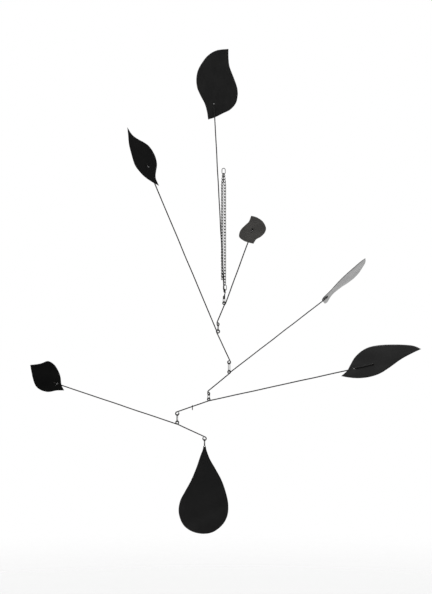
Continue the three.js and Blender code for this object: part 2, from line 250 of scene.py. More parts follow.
def paintedSheet():
    # satin black brushed on sheet metal, rubbed thin along its cut edges, and on one leaf lightened to warm
    # grey by a painted sheen
    material, tree, shader = newMaterial("blackSheetPaint")
    place = attributeOf(tree, "sheetPlace").outputs["Vector"]
    edge, paintedSheen, matt = (attributeOf(tree, name).outputs["Fac"] for name in ("edge", "paintedSheen", "matt"))
    patches = placeGroup(tree, softPatches, place, Scale=26.0, Contrast=0.22)
    strokes = placeGroup(tree, drawnGrain, place, Stretch=(0.07, 1.0, 1.0), Scale=420.0)
    peel = placeGroup(tree, drawnGrain, place, Stretch=(1.0, 1.0, 1.0), Scale=900.0)
    primer = placeGroup(tree, raggedWear, place, Place=edge, Amount=sheetPaint["primerWear"], Scale=330.0)
    bare = placeGroup(tree, raggedWear, place, Place=edge, Amount=sheetPaint["bareWear"], Scale=520.0)
    dust = placeGroup(tree, thinDust, place, Amount=sheetPaint["dustAmount"], Scale=1300.0)

    tone = times(tree, patches, mapped(tree, strokes, 0.35, 0.65, 0.6, 1.0))
    colour = mixColour(tree, tone, sheetPaint["coat"], sheetPaint["thinCoat"])
    # painted sheen: on the leaf marked for it, the black paint's colour is lightened towards warm grey,
    # standing for the shine that leaf's turn catches from the light
    paintedSheenMask = times(tree, paintedSheen, mapped(tree, patches, 0.0, 1.0, 0.7, 1.0))
    colour = mixColour(tree, paintedSheenMask, colour, sheetPaint["paintedSheen"])
    colour = mixColour(tree, primer, colour, sheetPaint["primer"])
    colour = mixColour(tree, bare, colour, sheetPaint["bare"])
    colour = mixColour(tree, times(tree, dust, 0.35), colour, paleDust)
    tree.links.new(colour, shader.inputs["Base Color"])

    low, high = sheetPaint["gloss"]
    gloss = plus(tree, mapped(tree, strokes, 0.3, 0.7, low, high), times(tree, dust, 0.3))
    gloss = plus(tree, gloss, times(tree, patches, 0.05))
    tree.links.new(gloss, shader.inputs["Roughness"])
    tree.links.new(bare, shader.inputs["Metallic"])
    shine = mapped(tree, matt, 0.0, 1.0, 1.0, 1.0 - sheetPaint["mattLoss"])
    specular = times(tree, shine, sheetPaint["specular"])
    tree.links.new(specular, shader.inputs["Specular IOR Level"])
    flaked = larger(tree, primer, bare)
    varnish = mapped(tree, larger(tree, flaked, dust), 0.0, 1.0, sheetPaint["varnish"], 0.0)
    tree.links.new(times(tree, varnish, shine), shader.inputs["Coat Weight"])
    shader.inputs["Coat Roughness"].default_value = sheetPaint["varnishGloss"]
    paint = minus(tree, 1.0, flaked)
    bumped(tree, shader, [(strokes, 0.25, 0.00012), (peel, 0.18, 0.00005), (paint, 0.5, 0.00006)])
    return material


wirePaint = {
    "coat": (0.006, 0.0058, 0.0056, 1.0),
    "thinCoat": (0.016, 0.0148, 0.0135, 1.0),
    "bare": (0.30, 0.285, 0.265, 1.0),
    "rust": (0.05, 0.026, 0.014, 1.0),
    "gloss": (0.34, 0.5),
    "wear": 0.5,
    "stain": 0.62,             # of rust, a little further out than the wear
    "dustAmount": 0.3,
}


def paintedWire():
    # dark paint on steel wire, rubbed bright where links ride in the loops
    material, tree, shader = newMaterial("darkWirePaint")
    place = addNode(tree, "ShaderNodeTexCoord").outputs["Object"]
    rub = attributeOf(tree, "rub").outputs["Fac"]
    patches = placeGroup(tree, softPatches, place, Scale=55.0, Contrast=0.2)
    grain = placeGroup(tree, drawnGrain, place, Stretch=(1.0, 1.0, 1.0), Scale=1500.0)
    bare = placeGroup(tree, raggedWear, place, Place=rub, Amount=wirePaint["wear"], Scale=420.0)
    stain = placeGroup(tree, raggedWear, place, Place=rub, Amount=wirePaint["stain"], Scale=300.0)
    dust = placeGroup(tree, thinDust, place, Amount=wirePaint["dustAmount"], Scale=1600.0)
    colour = mixColour(tree, patches, wirePaint["coat"], wirePaint["thinCoat"])
    colour = mixColour(tree, times(tree, stain, 0.6), colour, wirePaint["rust"])
    colour = mixColour(tree, bare, colour, wirePaint["bare"])
    colour = mixColour(tree, times(tree, dust, 0.3), colour, paleDust)
    tree.links.new(colour, shader.inputs["Base Color"])
    low, high = wirePaint["gloss"]
    gloss = plus(tree, mapped(tree, grain, 0.3, 0.7, low, high), times(tree, dust, 0.25))
    tree.links.new(gloss, shader.inputs["Roughness"])
    tree.links.new(bare, shader.inputs["Metallic"])
    coat = minus(tree, 1.0, bare)
    bumped(tree, shader, [(patches, 0.2, 0.00008), (grain, 0.2, 0.00004), (coat, 0.6, 0.00005)])
    return material


def steelMaterial(name, finish):
    # bare steel in brighter and duller patches, dirty in its hollows
    material, tree, shader = newMaterial(name)
    place = addNode(tree, "ShaderNodeTexCoord").outputs["Object"]
    hollow = attributeOf(tree, "hollow").outputs["Fac"]
    patches = placeGroup(tree, softPatches, place, Scale=finish["patchScale"], Contrast=0.24)
    grain = placeGroup(tree, drawnGrain, place, Stretch=(1.0, 1.0, 0.25), Scale=1700.0)
    grime = placeGroup(tree, raggedWear, place, Place=hollow, Amount=finish["grime"], Scale=520.0)
    dust = placeGroup(tree, thinDust, place, Amount=0.2, Scale=1600.0)
    colour = mixColour(tree, patches, finish["bright"], finish["dull"])
    colour = mixColour(tree, times(tree, grime, 0.85), colour, finish["dirt"])
    tree.links.new(colour, shader.inputs["Base Color"])
    low, high = finish["gloss"]
    gloss = plus(tree, mapped(tree, grain, 0.3, 0.7, low, high), times(tree, grime, 0.35))
    gloss = plus(tree, gloss, times(tree, dust, 0.3))
    tree.links.new(gloss, shader.inputs["Roughness"])
    tree.links.new(minus(tree, 1.0, times(tree, grime, 0.6)), shader.inputs["Metallic"])
    bumped(tree, shader, [(patches, 0.15, 0.00006), (grain, 0.22, 0.00004)])
    return material


chainFinish = {
    "bright": (0.27, 0.268, 0.262, 1.0),
    "dull": (0.12, 0.118, 0.114, 1.0),
    "dirt": (0.022, 0.020, 0.018, 1.0),
    "gloss": (0.2, 0.36),
    "grime": 0.9,
    "patchScale": 90.0,
}
linkFinish = {
    "bright": (0.13, 0.128, 0.124, 1.0),
    "dull": (0.055, 0.053, 0.050, 1.0),
    "dirt": (0.022, 0.020, 0.017, 1.0),
    "gloss": (0.24, 0.4),
    "grime": 0.7,
    "patchScale": 120.0,
}

blackPaint = paintedSheet()
armPaint = paintedWire()
chainSteel = steelMaterial("chainSteel", chainFinish)
linkSteel = steelMaterial("linkSteel", linkFinish)
print("materials made")


# mesh making

def meshPiece(name, verts, faces, body, material, nodes):
    mesh = bpy.data.meshes.new(name)
    mesh.from_pydata([tuple(v * mm) for v in verts], [], faces)
    mesh.update()
    piece = bpy.data.objects.new(name, mesh)
    scene.collection.objects.link(piece)
    mesh.polygons.foreach_set("use_smooth", [True] * len(mesh.polygons))
    mesh.materials.append(material)
    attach(piece, body)
    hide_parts(*nodes)
    return piece


def markVerts(piece, name, values):
    # a value from 0 to 1 on each vertex, for wear and grime
    layer = piece.data.attributes.new(name, "FLOAT", "POINT")
    layer.data.foreach_set("value", values)


def turned(vector, angle, axis=up):
    return Matrix.Rotation(angle, 3, axis) @ vector


bending = {
    "step": math.radians(7),   # between two sections of a bent wire
    "straightStep": 9.0,
    "waver": 0.2,              # how far a wire straightened by hand wanders
    "waverLength": 90.0,
    "endRound": 0.35,          # share of the wire's radius that a cut end is filed down by
}


def tube(stations, radius, sides, closed=False):
    # a round wire: vertices, the way out from the wire's middle at each, the station of each, and faces
    count = len(stations)
    # a section holds its middle, two ways across, its radius and the number of its station
    sections = []
    normal = None
    for k, here in enumerate(stations):
        before = stations[(k - 1) % count] if closed or k > 0 else here
        after = stations[(k + 1) % count] if closed or k < count - 1 else here
        tangent = (after - before).normalized()
        if normal is None:
            normal = tangent.orthogonal().normalized()
        normal = (normal - tangent * normal.dot(tangent)).normalized()
        sections.append([here, normal.copy(), tangent.cross(normal), radius, k])
    if closed:
        # what the sections turned by on their way round is given back evenly
        tangent = (stations[1] - stations[-1]).normalized()
        carried = (normal - tangent * normal.dot(tangent)).normalized()
        twist = math.atan2(carried.dot(sections[0][2]), carried.dot(sections[0][1]))
        for section in sections:
            turn = Matrix.Rotation(-twist * section[4] / count, 3, section[1].cross(section[2]))
            section[1], section[2] = turn @ section[1], turn @ section[2]
    else:
        # filed round at the first end; at the last the small ring falls one station back, inside the wire
        filed = radius * bending["endRound"]
        for end, beyond in ((0, 1), (len(sections) - 1, len(sections) - 2)):
            inwards = (stations[beyond] - stations[end]).normalized()
            tip = list(sections[end])
            tip[3] = radius - filed
            sections[end][0] = sections[end][0] + inwards * filed
            sections.insert(0 if end == 0 else len(sections), tip)
            if end == 0:
                stations = stations[:1] + stations
    verts, ways, owners = [], [], []
    for here, first, second, wide, owner in sections:
        for side in range(sides):
            angle = fullTurn * side / sides
            way = first * math.cos(angle) + second * math.sin(angle)
            verts.append(here + way * wide)
            ways.append(way)
            owners.append(owner)
    faces = []
    rings = len(sections)
    for k in range(rings if closed else rings - 1):
        low, high = k * sides, ((k + 1) % rings) * sides
        for side in range(sides):
            beside = (side + 1) % sides
            faces.append((low + side, low + beside, high + beside, high + side))
    if not closed:
        faces.append(tuple(reversed(range(sides))))
        faces.append(tuple(range((rings - 1) * sides, rings * sides)))
    return verts, ways, owners, faces


def bend(start, forward, inward, radius, sweep, drift=Vector((0, 0, 0))):
    # stations round part of a circle; inward points from the start to its middle
    centre = start + inward * radius
    steps = max(2, round(sweep / bending["step"]))
    stations = []
    for k in range(steps + 1):
        angle = sweep * k / steps
        around = forward * (radius * math.sin(angle)) - inward * (radius * math.cos(angle))
        stations.append(centre + around + drift * (k / steps))
    return stations


def roundedCorner(before, corner, after, radius):
    into = (corner - before).normalized()
    out = (after - corner).normalized()
    room = radius * math.tan(into.angle(out) / 2)
    start, end = corner - into * room, corner + out * room
    steps = 7
    shares = [k / steps for k in range(steps + 1)]
    return [start * (1 - t) ** 2 + corner * (2 * t * (1 - t)) + end * t ** 2 for t in shares]


def straight(start, end, rng, waver):
    # stations between two ends, wandering a little as wire straightened by hand does
    length = (end - start).length
    along = (end - start).normalized()
    first = along.orthogonal().normalized()
    second = along.cross(first)
    steps = max(1, round(length / bending["straightStep"]))
    phases = [rng.uniform(0, fullTurn) for _ in range(2)]
    stations = []
    for k in range(1, steps):
        share = k / steps
        swing = waver * math.sin(math.pi * share) * min(1.0, length / bending["waverLength"])
        turn = fullTurn * share * length / bending["waverLength"]
        drift = first * math.sin(turn + phases[0]) + second * math.sin(0.63 * turn + phases[1])
        stations.append(start + along * (length * share) + drift * swing)
    return stations


def oval(halfWidth, halfHeight, seam, steps):
    # stations of an oval ring in the plane of X and Z; with a seam they stop short of meeting
    pull = halfHeight - halfWidth
    stations = []
    if seam > 0:
        stations.append(Vector((halfWidth, 0, seam / 2)))
    for first, middle in ((0.0, pull), (halfTurn, -pull)):
        for k in range(steps + 1):
            angle = first + halfTurn * k / steps
            stations.append(Vector((halfWidth * math.cos(angle), 0, middle + halfWidth * math.sin(angle))))
    if seam > 0:
        stations.append(Vector((halfWidth, 0, -seam / 2)))
    return stations


# the ring, the small links and the chain

ringSettings = {"wire": 0.9, "height": 17.0, "halfWidth": 4.3, "sides": 14, "seam": 0.25, "steps": 16}
linkSettings = {"wire": 0.85, "halfWidth": 4.2, "sides": 12, "seam": 0.3, "steps": 14}
chainSettings = {
    "wire": 0.9,
    "halfWidth": 2.4,
    "halfLength": 4.65,
    "twist": math.radians(45),   # each way from the middle of a link
    "touch": 0.15,               # how far the bars of two links sink into each other
    "ringRoom": 0.6,
    "loadLinks": 38,
    "loadOffset": 3.3,
    "loadFace": math.radians(0),
    "tailLinks": 36,
    "tailOffset": -4.0,
    "tailFace": math.radians(50),
    "tailDull": 0.7,
    "spreadLinks": 4,
    "sides": 8,
    "steps": 9,
    "swing": math.radians(3.5),  # how far a link turns from its neighbours' line
    "seed": 11,
}


def hollowOf(verts, ways, centre):
    # 1 where a wire's surface faces the inside of its own ring, 0 on its outside
    return [0.5 + 0.5 * way.dot((centre - v).normalized()) for v, way in zip(verts, ways)]


def ovalPiece(name, settings, height, top, turn, body, node):
    # an oval of wire with a seam, hung by the highest place on its middle line
    centre = top - up * (height / 2)
    stations = oval(settings["halfWidth"], height / 2, settings["seam"], settings["steps"])
    stations = [centre + turned(s, turn) for s in stations]
    verts, ways, _, faces = tube(stations, settings["wire"], settings["sides"])
    piece = meshPiece(name, verts, faces, body, linkSteel, [node])
    markVerts(piece, "hollow", hollowOf(verts, ways, centre))


def hangingRing():
    height = ringSettings["height"] - 2 * ringSettings["wire"]
    ovalPiece("ceilingRing", ringSettings, height, up * ringSettings["wire"], 0.0, "root", "hanging_ring")


ringFoot = 3 * ringSettings["wire"] - ringSettings["height"]
chainPitch = 2 * (chainSettings["halfLength"] - chainSettings["wire"]) + chainSettings["touch"]
chainTop = ringFoot + ringSettings["wire"] + chainSettings["wire"] + chainSettings["ringRoom"]
chainStart = chainSettings["wire"] - chainSettings["touch"] / 3


def chainPin(number, offset):
    # middle of a link's upper bar, on its way from the ring out to the strand's own line
    spread = min(1.0, number / chainSettings["spreadLinks"])
    side = math.copysign(chainStart + (abs(offset) - chainStart) * spread, offset)
    return Vector((side, 0, chainTop - number * chainPitch))


def linkFace(number, count, face, lastFace):
    fromTop = min(1.0, number / chainSettings["spreadLinks"])
    fromFoot = min(1.0, (count - 1 - number) / chainSettings["spreadLinks"])
    return face + (chainSettings["twist"] - face) * (1 - fromTop) + (lastFace - face) * (1 - fromFoot)


def chainStrand(count, offset, face, lastFace, rng):
    verts, faces, hollows = [], [], []
    wire, half = chainSettings["wire"], chainSettings["halfLength"]
    link = oval(chainSettings["halfWidth"], half, 0.0, chainSettings["steps"])
    for number in range(count):
        top = chainPin(number, offset)
        axis = (top - chainPin(number + 1, offset)).normalized()
        lean = up.rotation_difference(axis)
        middle = top - axis * half
        inside = chainSettings["spreadLinks"] < number < count - chainSettings["spreadLinks"]
        facing = linkFace(number, count, face, lastFace)
        facing += rng.uniform(-1, 1) * chainSettings["swing"] * inside
        stations = []
        for s in link:
            curled = turned(s, chainSettings["twist"] * s.z / half + facing)
            stations.append(lean @ curled + middle)
        linkVerts, ways, _, linkFaces = tube(stations, wire, chainSettings["sides"], closed=True)
        base = len(verts)
        verts += linkVerts
        faces += [tuple(base + corner for corner in f) for f in linkFaces]
        hollows += hollowOf(linkVerts, ways, middle)
    return verts, faces, hollows


def hangingChain(topTurn):
    rng = random.Random(chainSettings["seed"])
    load = chainStrand(
        chainSettings["loadLinks"], chainSettings["loadOffset"], chainSettings["loadFace"],
        topTurn + chainSettings["twist"] - halfTurn, rng,
    )
    tail = chainStrand(
        chainSettings["tailLinks"], chainSettings["tailOffset"], chainSettings["tailFace"],
        chainSettings["tailFace"], rng,
    )
    base = len(load[0])
    verts = load[0] + tail[0]
    faces = load[1] + [tuple(base + corner for corner in f) for f in tail[1]]
    piece = meshPiece("curbChain", verts, faces, "root", chainSteel, ["hanging_chain"])
    # the loose end is the duller
    markVerts(piece, "hollow", load[2] + [min(1.0, h + chainSettings["tailDull"]) for h in tail[2]])


# the leaves: sheet cut by hand, its cut edges dulled, with a slot for the wire

leafSettings = {
    "sheet": 1.6,
    "slotAngle": math.radians(45),
    "slotBend": 3.0,
    "slotRoom": 0.3,
    "outlineSteps": 6,
    "rimRound": 0.55,
    "rimSteps": 4,
    "grid": 4.6,
    "rowShare": 0.866,         # between two rows of the net, as a share of the grid
    "netInset": 0.8,           # the net stops this share of the edge's width from the outline
    "holeClear": 1.6,          # and this far from the hole
    "edgeWidth": 2.6,
    "wornShare": 1.6,          # how far in from its edge the paint is worn, in edge widths
    "mitre": 1.5,              # the most that an inset is multiplied by at a sharp corner
    "ripple": 0.55,            # how far the sheet waves
    "rippleLength": 95.0,
    "rippleRoom": 14.0,        # from the wire out to where the sheet waves in full
    "cutWaver": 0.16,          # how far the snips wandered from the line
    "cutLength": 17.0,
    "holeRim": 0.35,
    "holeSteps": 28,
    "firstSeed": 70,
}


def spline(points, steps):
    # a smooth line through the points, each stretch taking its slopes from its neighbours
    line = []
    last = len(points) - 1
    for k in range(last):
        p0, p1, p2, p3 = (points[min(max(k + d, 0), last)] for d in (-1, 0, 1, 2))
        for step in range(steps):
            t = step / steps
            slope = (p2 - p0) * (0.5 * t)
            curve = (p0 * 2 - p1 * 5 + p2 * 4 - p3) * (0.5 * t * t)
            swing = (p1 * 3 - p0 - p2 * 3 + p3) * (0.5 * t ** 3)
            line.append(p1 + slope + curve + swing)
    return line


def signedArea(loop):
    return 0.5 * sum(a.x * b.y - b.x * a.y for a, b in zip(loop, loop[1:] + loop[:1]))


def leafOutline(sides, length):
    points = []
    for side in sides:
        places = [Vector((along, across)) * (length / 1000) for along, across in side]
        points += spline(places, leafSettings["outlineSteps"])
    return points if signedArea(points) > 0 else points[::-1]


def outwardWays(loop):
    # the way out at each corner of a loop that runs anticlockwise round the sheet
    ways = []
    for k, here in enumerate(loop):
        into = (here - loop[k - 1]).normalized()
        out = (loop[(k + 1) % len(loop)] - here).normalized()
        square = Vector((into.y, -into.x))
        both = Vector((into.y + out.y, -into.x - out.x))
        mean = both.normalized() if both.length > 1e-6 else square
        ways.append(mean * min(leafSettings["mitre"], 1.0 / max(0.4, mean.dot(square))))
    return ways


def cutLine(outline, rng):
    # the snips stay inside the line by up to the waver
    # the third draw is spare, and the ripple's draws come after it
    first, second, _ = (rng.uniform(0, fullTurn) for _ in range(3))
    run, line = 0.0, []
    for k, (here, way) in enumerate(zip(outline, outwardWays(outline))):
        run += (here - outline[k - 1]).length
        turn = fullTurn * run / leafSettings["cutLength"]
        swing = math.sin(turn + first) + 0.6 * math.sin(0.37 * turn + second)
        line.append(here - way * (leafSettings["cutWaver"] * 0.5 * (1 + 0.6 * swing)))
    return line


def insideLoop(point, loop):
    inside = False
    for a, b in zip(loop, loop[1:] + loop[:1]):
        if (a.y > point.y) != (b.y > point.y):
            if point.x < (b.x - a.x) * (point.y - a.y) / (b.y - a.y) + a.x:
                inside = not inside
    return inside


def distanceTo(point, loop):
    best = 1e9
    for a, b in zip(loop, loop[1:] + loop[:1]):
        span = b - a
        share = (point - a).dot(span) / max(1e-9, span.length_squared)
        best = min(best, (point - a - span * min(1.0, max(0.0, share))).length_squared)
    return math.sqrt(best)


def slotLoop(middle, length, width):
    # a slot with round ends, run anticlockwise
    loop = []
    reach = length / 2 - width / 2
    steps = 10
    for end, first in ((1, -quarterTurn), (-1, quarterTurn)):
        for k in range(steps + 1):
            angle = first + halfTurn * k / steps
            loop.append(Vector((
                middle + end * reach + width / 2 * math.cos(angle), width / 2 * math.sin(angle),
            )))
    return loop


def roundHole(radius):
    steps = leafSettings["holeSteps"]
    turns = [fullTurn * k / steps for k in range(steps)]
    return [Vector((radius * math.cos(turn), radius * math.sin(turn))) for turn in turns]


def rimProfile(rimRound):
    # insets and heights round a cut edge, from the upper face to the lower
    half = leafSettings["sheet"] / 2
    profile = []
    for k in range(leafSettings["rimSteps"] + 1):
        angle = quarterTurn * k / leafSettings["rimSteps"]
        profile.append((rimRound * (1 - math.sin(angle)), half - rimRound + rimRound * math.cos(angle)))
    return profile + [(inset, -height) for inset, height in reversed(profile)]


def netPlaces(outline, hole):
    # a row just inside the outline and a grid, each place with its distance from the outline
    edgeWidth, grid = leafSettings["edgeWidth"], leafSettings["grid"]
    places = [here - way * edgeWidth for here, way in zip(outline[::2], outwardWays(outline)[::2])]
    low = Vector((min(p.x for p in outline), min(p.y for p in outline)))
    high = Vector((max(p.x for p in outline), max(p.y for p in outline)))
    rows = int((high.y - low.y) / (grid * leafSettings["rowShare"])) + 1
    columns = int((high.x - low.x) / grid) + 1
    for row in range(rows):
        for column in range(columns):
            along = (column + 0.5 * (row % 2)) * grid
            places.append(low + Vector((along, row * grid * leafSettings["rowShare"])))
    kept = []
    for point in places:
        if not insideLoop(point, outline) or insideLoop(point, hole):
            continue
        away = distanceTo(point, outline)
        clear = distanceTo(point, hole) > leafSettings["holeClear"]
        if away > edgeWidth * leafSettings["netInset"] and clear:
            kept.append((point, away))
    return kept


def sheetMesh(outline, hole, rippleAt):
    # both faces as a fine net of triangles and round rims between them, at the outline and at the hole
    half = leafSettings["sheet"] / 2
    rims = [(outline, 1, leafSettings["rimRound"]), (hole, -1, leafSettings["holeRim"])]
    verts, edges, faces = [], [], []
    flats, owners, bounds = [], [], []
    for loop, sign, rimRound in rims:
        ways, count, rings = outwardWays(loop), len(loop), []
        for inset, height in rimProfile(rimRound):
            rings.append(len(verts))
            for here, way in zip(loop, ways):
                flat = here - way * (inset * sign)
                verts.append(Vector((flat.x, flat.y, height)))
                edges.append(1.0)
        for low, high in zip(rings[:-1], rings[1:]):
            for k in range(count):
                beside = (k + 1) % count
                quad = (low + k, high + k, high + beside, low + beside)
                faces.append(quad if sign > 0 else quad[::-1])
        first = len(flats)
        for k in range(count):
            corner = verts[rings[0] + k]
            flats.append(Vector((corner.x, corner.y)))
            owners.append((rings[0] + k, rings[-1] + k))
            bounds.append((first + k, first + (k + 1) % count))

    # the net joins the rims' inner edges, and each place in it is a vertex on both faces
    room = {}
    for point, away in netPlaces(outline, hole):
        room[len(flats)] = away
        flats.append(point)
        owners.append(None)
    points, _, triangles, originals = delaunay_2d_cdt(flats, bounds, [], 1, 1e-5)[:4]
    edgeWidth = leafSettings["edgeWidth"]
    above, below = [], []
    for point, sources in zip(points, originals):
        owner = next((owners[s] for s in sources if owners[s] is not None), None)
        if owner is None:
            away = room.get(sources[0], edgeWidth) if sources else edgeWidth
            worn = max(0.0, 1.0 - away / (edgeWidth * leafSettings["wornShare"]))
            owner = (len(verts), len(verts) + 1)
            verts += [Vector((point.x, point.y, half)), Vector((point.x, point.y, -half))]
            edges += [worn, worn]
        above.append(owner[0])
        below.append(owner[1])
    for triangle in triangles:
        middle = sum((points[c] for c in triangle), Vector((0, 0))) / len(triangle)
        if insideLoop(middle, hole) or not insideLoop(middle, outline):
            continue
        a, b, c = triangle
        if (points[b] - points[a]).cross(points[c] - points[a]) < 0:
            a, b, c = c, b, a
        faces.append((above[a], above[b], above[c]))
        faces.append((below[c], below[b], below[a]))
    places = [v.copy() for v in verts]
    for v in verts:
        v.z += rippleAt(v.x, v.y)
    return verts, faces, edges, places


def rippleFor(rng, wireRoom):
    # a wave across the sheet that dies out along the wire, or about the hole
    phases = [rng.uniform(0, fullTurn) for _ in range(3)]
    turn = fullTurn / leafSettings["rippleLength"]

    def rippleAt(x, y):
        share = min(1.0, wireRoom(x, y) / leafSettings["rippleRoom"])
        ease = share * share * (3 - 2 * share)
        wave = math.sin(turn * x + phases[0]) * math.cos(0.8 * turn * y + phases[1])
        wave += 0.5 * math.sin(1.7 * turn * (y - 0.4 * x) + phases[2])
        return leafSettings["ripple"] * 0.5 * wave * ease
    return rippleAt


def leafPiece(name, outline, hole, place, body, node, seed, wireRoom, looks):
    rng = random.Random(seed)
    cut = cutLine(outline, rng)
    verts, faces, edges, places = sheetMesh(cut, hole, rippleFor(rng, wireRoom))
    piece = meshPiece(name, [place(v) for v in verts], faces, body, blackPaint, [node])
    markVerts(piece, "edge", edges)
    # each leaf's share of painted sheen and how matt it is, the same on all its vertices
    for quality in ("paintedSheen", "matt"):
        markVerts(piece, quality, [looks.get(quality, 0.0)] * len(verts))
    layer = piece.data.attributes.new("sheetPlace", "FLOAT_VECTOR", "POINT")
    # each leaf takes its own piece of the pattern
    shift = Vector((rng.uniform(0, 900), rng.uniform(0, 900), 0))
    layer.data.foreach_set("vector", [c * mm for v in places for c in (v + shift)])


# the arms: one wire each, looped at the fulcrum and bent into an eye at its short end

armSettings = {
    "wire": 1.5,
    "sides": 16,
    "gap": 0.3,                 # between two turns of a wire, or a wire and a leaf
    "hangGap": 0.55,            # between a small link and a loop or an eye that hangs in it
    "eyeSweep": math.radians(290),
    "neckBend": 4.5,
    "spareLinkPlace": 48.0,
    "spareLinkHeight": 12.0,
    "spareLinkTurn": math.radians(105),
    "chainLinkHeight": 14.5,
    "rubs": {"tip": 0.9, "slot": 0.1, "loop": 0.42, "neck": 0.15},
    "firstSeed": 20,
}
# An outline's sides are smooth lines that meet in points, in thousandths of the leaf's length.
dropSettings = {
    "length": 231, "turn": -10, "hole": 1.7, "seed": 90,
    "outline": [
        [[0, 16], [13, 0], [24, -48], [61, -143], [126, -255], [195, -381], [242, -515], [268, -641],
         [260, -766], [203, -874], [95, -957], [-30, -978], [-156, -948], [-247, -874], [-294, -745],
         [-277, -615], [-221, -506], [-152, -381], [-95, -247], [-52, -121], [-21, -41], [-13, 0], [0, 16]],
    ],
}
topArm = {
    "name": "top", "label": "topmost", "turn": 98.5, "rise": 70.5, "reach": 474.5, "fall": 4.7,
    "short": 52, "sideTurn": -11, "loop": 4, "eye": 3.6, "neck": 4.2, "eyeTurn": 115,
    "linkHeight": 13.6, "linkTurn": 56, "length": 220, "roll": 80, "side": -1,
    "slot": 0.27, "tail": 0.21, "matt": 0.35,
    "outline": [
        [[68, 82], [173, 91], [282, 114], [391, 159], [500, 195], [618, 200], [736, 173], [845, 109],
         [932, 32], [986, -73], [995, -214]],
        [[995, -214], [873, -209], [764, -214], [664, -241], [541, -277], [459, -295], [368, -295],
         [264, -268], [182, -195], [141, -109], [91, 0], [68, 82]],
    ],
}
smallArm = {
    "name": "small", "label": "littleLeaf", "turn": -25, "rise": 68, "reach": 171, "fall": 66.2,
    "short": 51, "sideTurn": 8, "loop": 3.6, "eye": 3.6, "neck": 4.7, "eyeTurn": 47,
    "linkHeight": 16.4, "linkTurn": 107, "length": 70, "roll": 12, "side": -1,
    # the little leaf's lighter grey is a painted sheen in its colour
    "slot": 0.43, "tail": 0.07, "paintedSheen": 0.9,
    "outline": [
        [[13, 216], [199, 259], [356, 387], [556, 473], [742, 445], [913, 245], [970, -27],
         [942, -227]],
        [[942, -227], [728, -227], [570, -298], [356, -398], [170, -413], [42, -355], [-15, -170],
         [-15, -13], [13, 216]],
    ],
}
upperLeftArm = {
    "name": "upper_left", "label": "upperLeft", "turn": 205, "rise": 65.2, "reach": 418, "fall": 62.8,
    "short": 86, "sideTurn": 0, "loop": 4, "eye": 4, "neck": 0, "eyeTurn": 0,
    "linkHeight": 22.8, "linkTurn": 120, "length": 170, "roll": -12, "side": 1,
    "slot": 0.28, "tail": 0.03,
    "outline": [
        [[-58, -45], [72, -45], [166, -92], [242, -139], [336, -163], [436, -163], [548, -139],
         [630, -92], [719, -21], [813, 32], [942, 55]],
        [[942, 55], [830, 90], [701, 132], [566, 155], [389, 173], [266, 149], [148, 102], [30, 26],
         [-58, -45]],
    ],
}
upperRightArm = {
    "name": "upper_right", "label": "upperRight", "turn": 35, "rise": 31.4, "reach": 364, "fall": 33,
    "short": 81, "sideTurn": 0, "loop": 3.6, "eye": 3.6, "neck": 4, "eyeTurn": -50,
    "linkHeight": 13, "linkTurn": 55, "length": 160, "roll": 53, "side": 1,
    "slot": 0.09, "tail": 0.03,
    "outline": [
        [[120, 274], [-33, 18], [-43, -74], [22, -111], [114, -163], [232, -272], [362, -346],
         [506, -392], [647, -429], [763, -450], [873, -430]],
        [[873, -430], [943, -242], [927, -72], [881, 56], [778, 122], [635, 122], [452, 82], [312, 85],
         [230, 125], [203, 215], [184, 294], [120, 274]],
    ],
}
rightArm = {
    "name": "right", "label": "farRight", "turn": -20, "rise": 12.5, "reach": 371, "fall": 18.9,
    "short": 93.7, "sideTurn": 0, "loop": 3.6, "eye": 4.4, "neck": 0, "eyeTurn": 0,
    "linkHeight": 20.5, "linkTurn": 73, "length": 216, "roll": -14, "side": -1,
    "slot": 0.125, "tail": 0.23,
    "outline": [
        [[-45, 55], [34, 9], [90, -60], [150, -130], [238, -185], [335, -213], [446, -213],
         [594, -190], [770, -148], [877, -111], [955, -56]],
        [[955, -56], [835, -28], [696, 14], [553, 78], [428, 125], [293, 139], [159, 125], [43, 92],
         [-45, 55]],
    ],
}
leftArm = {
    "name": "left", "label": "farLeft", "turn": 165, "rise": 17.2, "reach": 320.4, "fall": 23.3,
    "short": 82.7, "sideTurn": 0, "loop": 4, "eye": 4.4, "neck": 0, "eyeTurn": 0,
    "linkHeight": 17.2, "linkTurn": 78, "length": 111, "roll": 10, "side": 1,
    "slot": 0.18, "tail": 0.05, "matt": 1.0,
    "outline": [
        [[-45, 96], [63, -12], [135, -156], [216, -264], [351, -381], [477, -435], [586, -435],
         [676, -363], [775, -300], [955, -219]],
        [[955, -219], [865, -66], [766, 87], [649, 213], [495, 267], [306, 249], [135, 159],
         [-45, 96]],
    ],
}
arms = [topArm, smallArm, upperLeftArm, upperRightArm, rightArm, leftArm]

armWire, gap = armSettings["wire"], armSettings["gap"]
seat = armWire + linkSettings["wire"] + armSettings["hangGap"]
chainSeat = chainSettings["wire"] + linkSettings["wire"] + gap
dropSeat = dropSettings["hole"] - linkSettings["wire"] - gap
loopPitch = 2 * armWire + gap
leafOffset = leafSettings["sheet"] / 2 + armWire + gap
slotRun = 2 * leafOffset / math.tan(leafSettings["slotAngle"])
slotWidth = 2 * armWire + leafSettings["slotRoom"]
slotLength = (leafSettings["sheet"] + slotWidth) / math.sin(leafSettings["slotAngle"])


